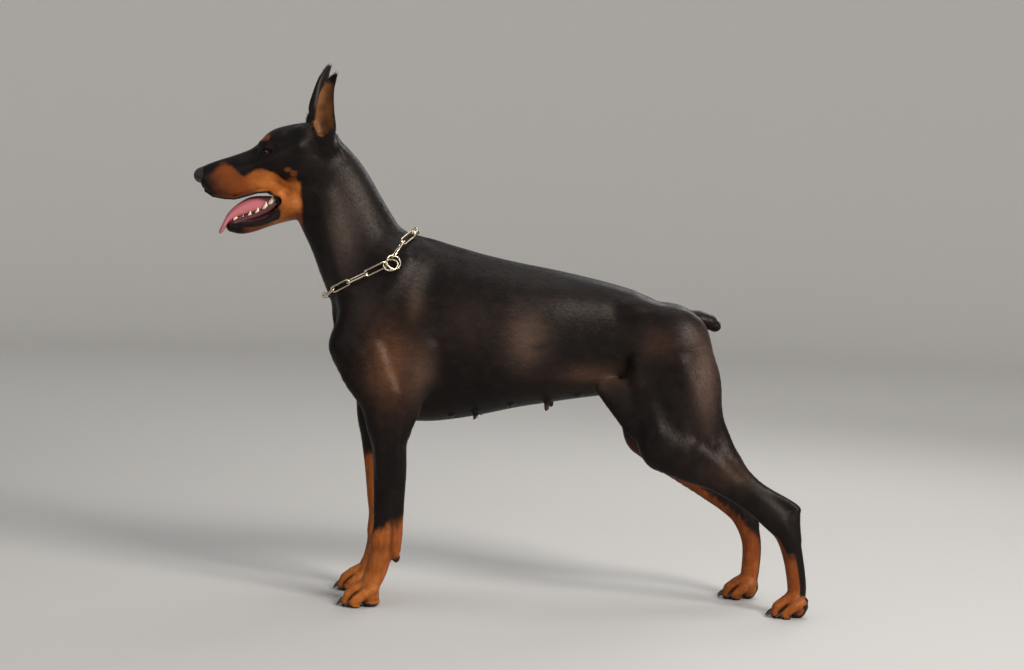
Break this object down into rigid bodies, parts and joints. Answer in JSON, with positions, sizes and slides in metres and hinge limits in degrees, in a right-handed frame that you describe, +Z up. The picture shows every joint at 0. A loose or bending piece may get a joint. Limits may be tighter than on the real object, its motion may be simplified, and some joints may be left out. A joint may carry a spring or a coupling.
{
  "type": "doberman pinscher",
  "caption": "Life-size doberman pinscher bitch standing square, black and rust, ears cropped and erect, tail docked, mouth open, wearing a chain collar.",
  "frame": {"origin": "on the floor, under the middle of the dog's bounding box", "axes": "+X towards the tail, -X the way the dog looks, +Y its right side, -Y its left side, +Z up"},
  "size_m": [1.1359, 0.2417, 0.9767],
  "materials": {
    "coat_black": "short, close, glossy black hair",
    "coat_rust": "short, close, satin rust-red hair",
    "nose_leather": "pebbled, moist black nose leather",
    "eye": "wet, dark brown",
    "tongue": "moist, fine-grained pink",
    "chain_steel": "worn, pale gold-silver plated wire"
  },
  "bodies": {
    "root": {"head": "coat_black", "neck": "coat_black", "torso": "coat_black", "tail": "coat_black", "jaw_lower": "coat_rust", "tongue": "tongue", "nose": "nose_leather", "eye_left": "eye", "ear_left": "coat_black", "foreleg_left": "coat_black", "hindleg_left": "coat_black", "forepaw_left": "coat_rust", "hindpaw_left": "coat_rust", "eye_right": "eye", "ear_right": "coat_black", "foreleg_right": "coat_black", "hindleg_right": "coat_black", "forepaw_right": "coat_rust", "hindpaw_right": "coat_rust", "collar_link_01": "chain_steel", "collar_link_02": "chain_steel", "collar_link_03": "chain_steel", "collar_link_04": "chain_steel", "collar_link_05": "chain_steel", "collar_link_06": "chain_steel", "collar_link_07": "chain_steel", "collar_link_08": "chain_steel", "collar_link_09": "chain_steel", "collar_link_10": "chain_steel", "collar_link_11": "chain_steel", "collar_link_12": "chain_steel", "collar_link_13": "chain_steel", "collar_link_14": "chain_steel", "collar_link_15": "chain_steel", "collar_link_16": "chain_steel", "collar_ring_front": "chain_steel", "collar_ring_back": "chain_steel"}
  },
  "joints": []
}
